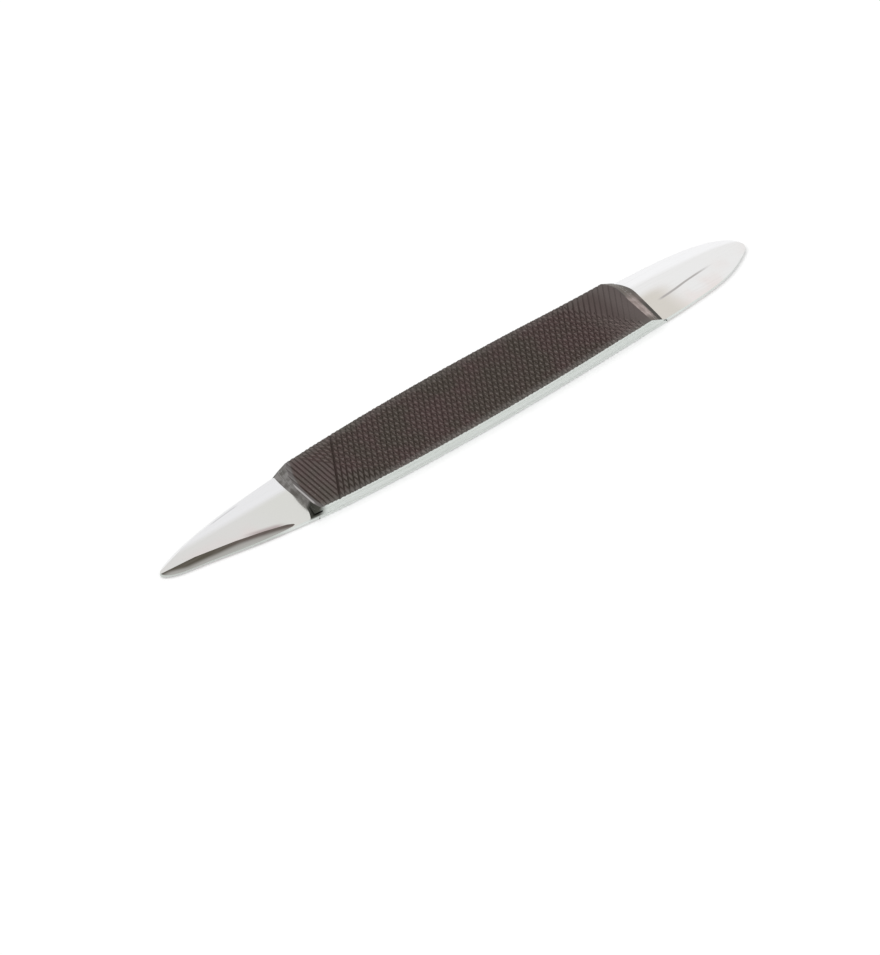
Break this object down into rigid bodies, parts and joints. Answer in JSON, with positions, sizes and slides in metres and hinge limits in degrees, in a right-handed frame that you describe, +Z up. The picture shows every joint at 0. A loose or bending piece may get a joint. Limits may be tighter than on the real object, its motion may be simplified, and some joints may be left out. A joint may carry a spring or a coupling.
{
  "type": "nail file",
  "caption": "Flat double-ended metal nail file: toothed plates on both faces of a steel core with a pointed cleaner at one end and a rounded pusher at the other.",
  "frame": {"origin": "centre of the bounding box's underside: the middle of the file, on the surface that it lies on", "axes": "+X along the file from the pointed end to the rounded end, +Y across it, +Z up out of the upper file face"},
  "size_m": [0.15, 0.0172, 0.0028],
  "materials": {
    "polished_steel": "hardened steel, ground and mirror polished",
    "toothed_steel": "file-cut hardened steel, dark brown heat-treatment finish",
    "silver_solder": "silver solder, dull"
  },
  "bodies": {
    "root": {"steel_core": "polished_steel", "upper_file_plate": "toothed_steel", "lower_file_plate": "toothed_steel", "upper_solder_film": "silver_solder", "lower_solder_film": "silver_solder"}
  },
  "joints": []
}
